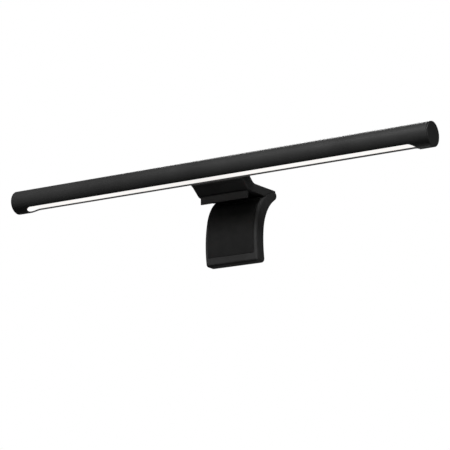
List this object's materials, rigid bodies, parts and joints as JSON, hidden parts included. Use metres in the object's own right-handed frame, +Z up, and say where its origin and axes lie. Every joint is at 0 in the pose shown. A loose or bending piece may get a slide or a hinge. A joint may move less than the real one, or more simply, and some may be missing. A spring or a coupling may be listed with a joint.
{
  "type": "monitor light bar",
  "caption": "Matte black round light bar with a white diffuser slot, on a hook bracket that rests on a monitor's top edge and a sprung curved counterweight behind it.",
  "frame": {"origin": "centre of the rest pad's lower face, where the bracket sits on a monitor's top edge", "axes": "+X along the bar, to the right for a person facing the screen; +Y to the rear of the monitor; +Z up"},
  "size_m": [0.448, 0.0794, 0.0914],
  "materials": {
    "tube_black": "matte anodised",
    "diffuser_white": "opal, lit",
    "reflector_white": "matte",
    "board_green": "solder mask",
    "led_yellow": "satin",
    "raw_aluminium": "mill finish",
    "chip_black": "matte",
    "capacitor_tan": "satin",
    "ferrite": "matte",
    "shield_steel": "tin plated",
    "wire_red": "satin",
    "screw_steel": "zinc plated",
    "bracket_black": "fine matte",
    "liner_felt": "short felt",
    "slider_grey": "satin",
    "plain_steel": "bright",
    "plate_black": "fine matte powder coat",
    "pad_rubber": "fine-grained matte",
    "magnet_nickel": "nickel plated",
    "slug_iron": "as cast",
    "bush_white": "satin"
  },
  "bodies": {
    "bracket": {"arm_shell": "bracket_black", "hook_plate": "plate_black", "rest_pad": "pad_rubber", "lip_pad": "pad_rubber", "magnets": "magnet_nickel", "plate_screws": "screw_steel", "hinge_pin": "plain_steel", "hinge_spring": "plain_steel"},
    "swivel": {"swivel_saddle": "bracket_black", "saddle_liner": "liner_felt", "inner_slider": "slider_grey", "slider_screws": "screw_steel", "keeper_plate": "plain_steel"},
    "bar": {"tube": "tube_black", "end_cap_left": "tube_black", "end_cap_right": "tube_black", "diffuser": "diffuser_white", "reflector": "reflector_white", "led_board": "board_green", "leds": "led_yellow", "chassis": "raw_aluminium", "driver_board": "board_green", "driver_chips": "chip_black", "capacitors": "capacitor_tan", "inductor": "ferrite", "radio_module": "shield_steel", "usb_socket": "shield_steel", "led_wires": "wire_red", "board_screws": "screw_steel"},
    "counterweight": {"weight_shell": "bracket_black", "weight_cover": "bracket_black", "weight_slug": "slug_iron", "grip_pad": "pad_rubber", "weight_screws": "screw_steel", "hinge_bush": "bush_white"}
  },
  "joints": [
    {"name": "bar_lift", "type": "slide", "parent": "bracket", "child": "swivel", "axis": [0, -0.766, 0.6428], "range_m": [0, 0.03]},
    {"name": "bar_tilt", "type": "hinge", "parent": "swivel", "child": "bar", "pos_m": [0, -0.035, 0.0179], "axis": [1, 0, 0], "range_deg": [-15, 10]},
    {"name": "weight_swing", "type": "hinge", "parent": "bracket", "child": "counterweight", "pos_m": [0, 0.0289, 0.0044], "axis": [1, 0, 0], "range_deg": [0, 40], "stiffness_Nm_per_rad": 0.15, "springref_deg": -60.16, "deforming": ["hinge_spring"]}
  ]
}
